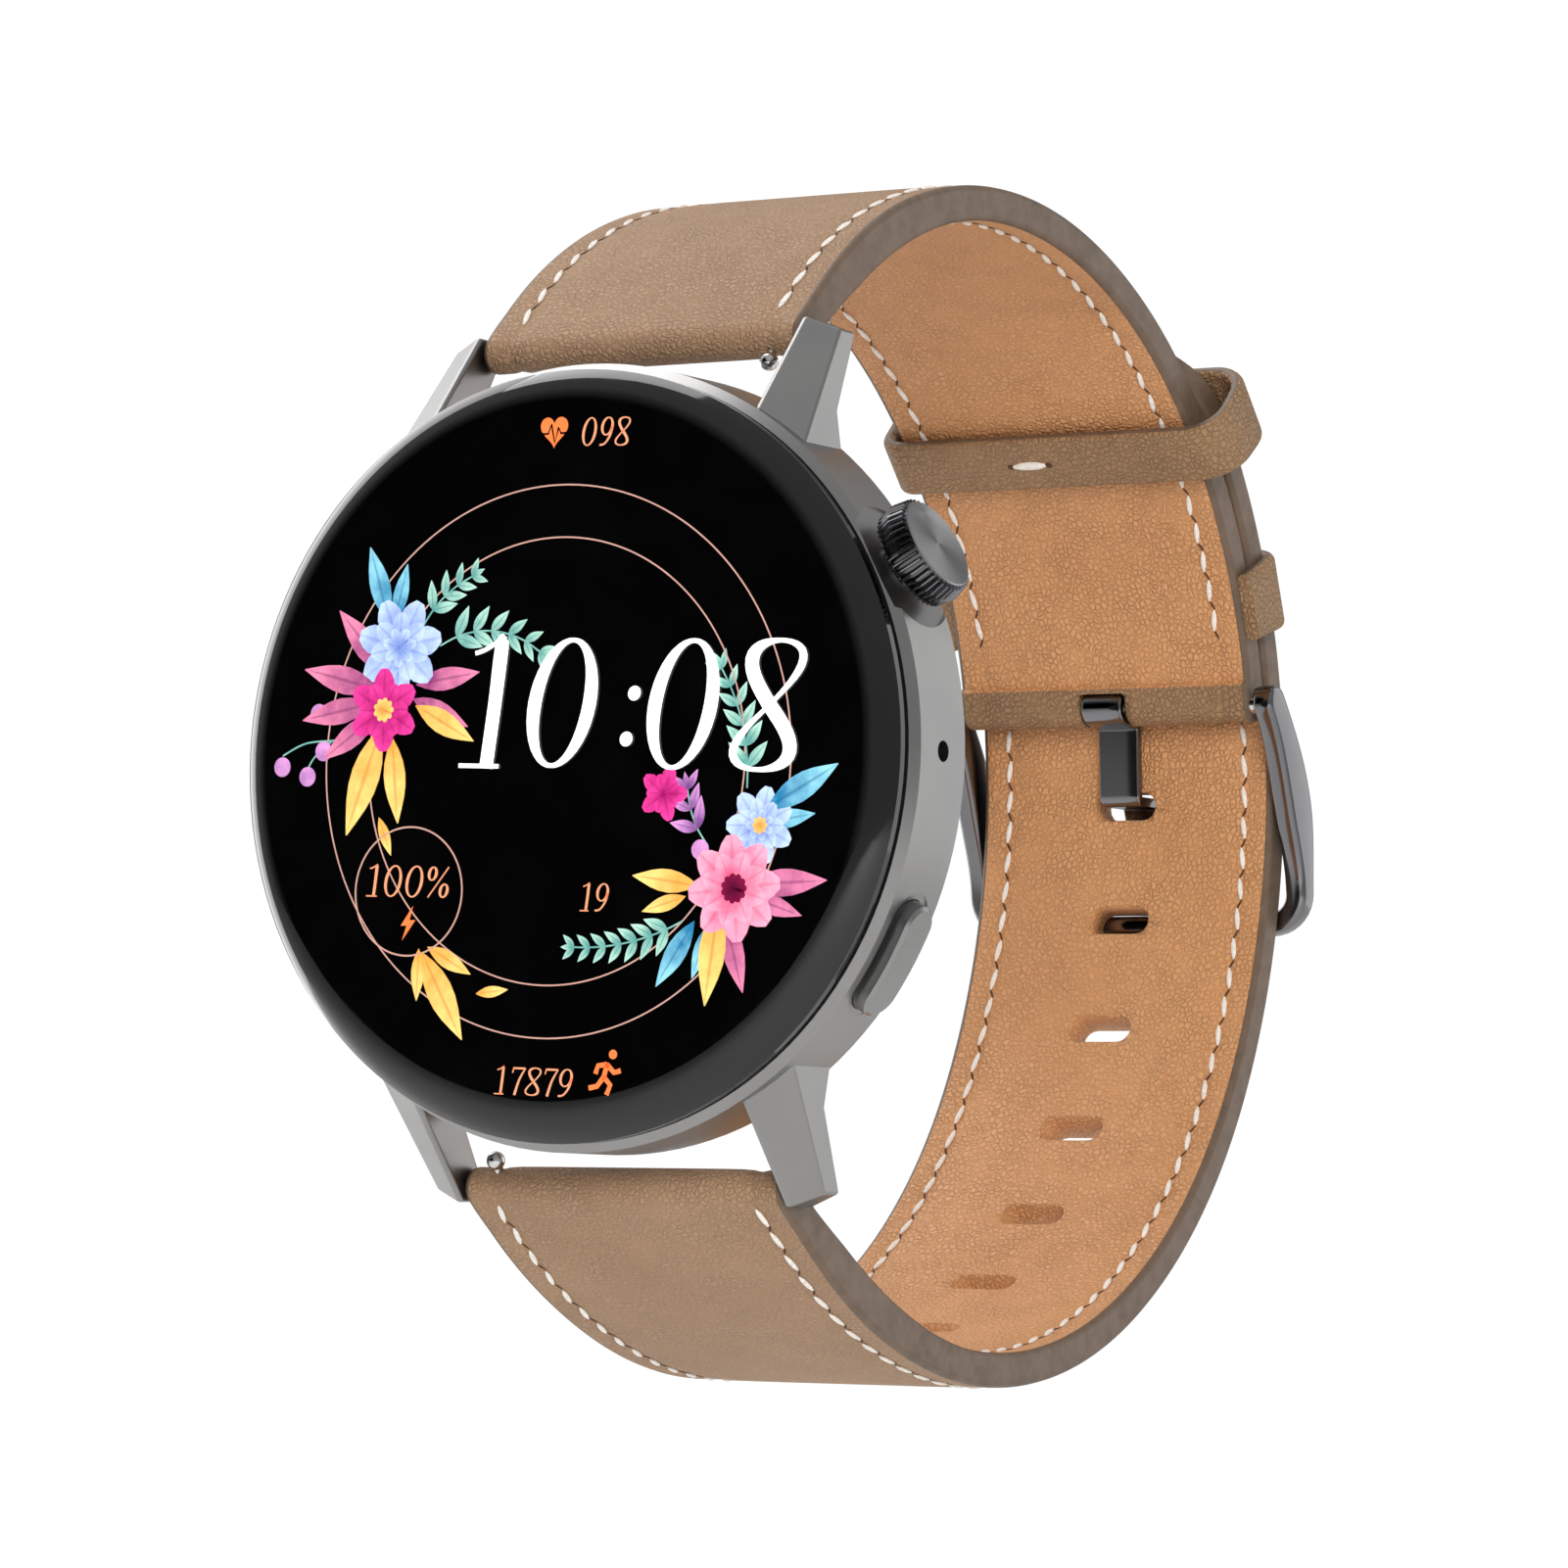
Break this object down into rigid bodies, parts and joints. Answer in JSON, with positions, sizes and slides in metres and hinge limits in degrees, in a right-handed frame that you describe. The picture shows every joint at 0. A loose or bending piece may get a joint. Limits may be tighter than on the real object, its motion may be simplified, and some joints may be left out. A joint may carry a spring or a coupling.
{
  "type": "smartwatch",
  "caption": "Round smartwatch with a satin metal case, turning crown and side button, fastened on a stitched leather strap with a pin buckle.",
  "frame": {"origin": "middle of the wrist opening inside the fastened strap", "axes": "+Z towards 12 o'clock, -Y out of the dial, +X towards 3 o'clock and along the wrist"},
  "size_m": [0.0458, 0.0713, 0.0721],
  "materials": {
    "cover_glass": "polished",
    "window_glass": "polished",
    "case_metal": "satin",
    "dark_metal": "polished",
    "bright_metal": "polished",
    "top_leather": "grained",
    "lining_leather": "pebbled",
    "black_plastic": "moulded",
    "screen": "glossy",
    "circuit_board": "solder mask",
    "seal_rubber": "soft",
    "cell_foil": "foil",
    "gold_contact": "plated",
    "steel_parts": "stamped"
  },
  "bodies": {
    "case": {"back_cover": "black_plastic", "back_cover_gasket": "seal_rubber", "back_cover_screws": "steel_parts", "battery": "cell_foil", "board_shields": "steel_parts", "button_seal": "seal_rubber", "button_switch": "steel_parts", "case_body": "case_metal", "charging_contacts": "gold_contact", "cover_glass": "cover_glass", "crown_seal": "seal_rubber", "crown_switch": "steel_parts", "crown_tube": "steel_parts", "display_flex": "gold_contact", "display_panel": "screen", "fixed_keeper": "top_leather", "glass_adhesive": "seal_rubber", "haptic_motor_can": "steel_parts", "haptic_motor_shaft": "steel_parts", "inner_frame": "black_plastic", "lower_bar_fixed_pin": "steel_parts", "lower_bar_spring": "steel_parts", "lower_bar_tube": "steel_parts", "main_board": "circuit_board", "microphone": "black_plastic", "microphone_mesh": "seal_rubber", "sensor_board": "circuit_board", "sensor_leds": "gold_contact", "sensor_light_dam": "black_plastic", "sensor_window": "window_glass", "speaker_module": "black_plastic", "strap_lower_lining": "lining_leather", "strap_lower_outer": "top_leather", "strap_upper_lining": "lining_leather", "strap_upper_outer": "top_leather", "upper_bar_fixed_pin": "steel_parts", "upper_bar_spring": "steel_parts", "upper_bar_tube": "steel_parts"},
    "crown_slide": {"crown_carrier": "steel_parts"},
    "crown": {"crown_head": "dark_metal", "crown_stem": "steel_parts", "crown_clip": "steel_parts"},
    "side_button": {"button_cap": "case_metal", "button_stem": "steel_parts", "button_clip": "steel_parts"},
    "buckle": {"buckle_frame": "dark_metal", "buckle_bar": "bright_metal"},
    "tongue": {"buckle_tongue": "dark_metal"},
    "loose_keeper": {"free_keeper": "top_leather"},
    "upper_release": {"upper_release_pin": "bright_metal"},
    "lower_release": {"lower_release_pin": "bright_metal"},
    "vibration_weight": {"haptic_rotor": "steel_parts"}
  },
  "joints": [
    {"name": "crown_press", "type": "slide", "parent": "case", "child": "crown_slide", "axis": [-0.8838, 0, -0.4679], "range_m": [0, 0.0004], "stiffness_N_per_m": 4000, "springref_m": -0.0002},
    {"name": "crown_turn", "type": "hinge", "parent": "crown_slide", "child": "crown", "pos_m": [0, -0.033, 0], "axis": [0.8838, 0, 0.4679], "continuous": true},
    {"name": "side_button_press", "type": "slide", "parent": "case", "child": "side_button", "axis": [-0.8616, 0, 0.5075], "range_m": [0, 0.0005], "stiffness_N_per_m": 4000, "springref_m": -0.0002},
    {"name": "buckle_swing", "type": "hinge", "parent": "case", "child": "buckle", "pos_m": [0, 0.02745, 0.00781], "axis": [1, 0, 0], "range_deg": [0, 2.4]},
    {"name": "tongue_swing", "type": "hinge", "parent": "buckle", "child": "tongue", "pos_m": [0, 0.02745, 0.00781], "axis": [1, 0, 0], "range_deg": [0, 0.6]},
    {"name": "keeper_slide", "type": "hinge", "parent": "case", "child": "loose_keeper", "pos_m": [0, -0.005, 0.0018], "axis": [1, 0, 0], "range_deg": [-12, 44]},
    {"name": "upper_release_slide", "type": "slide", "parent": "case", "child": "upper_release", "axis": [-1, 0, 0], "range_m": [0, 0.0012], "stiffness_N_per_m": 1200, "springref_m": -0.0005},
    {"name": "lower_release_slide", "type": "slide", "parent": "case", "child": "lower_release", "axis": [1, 0, 0], "range_m": [0, 0.0012], "stiffness_N_per_m": 1200, "springref_m": -0.0005},
    {"name": "vibration_spin", "type": "hinge", "parent": "case", "child": "vibration_weight", "pos_m": [-0.0146, -0.03235, 0.0048], "axis": [0, 1, 0], "continuous": true}
  ]
}
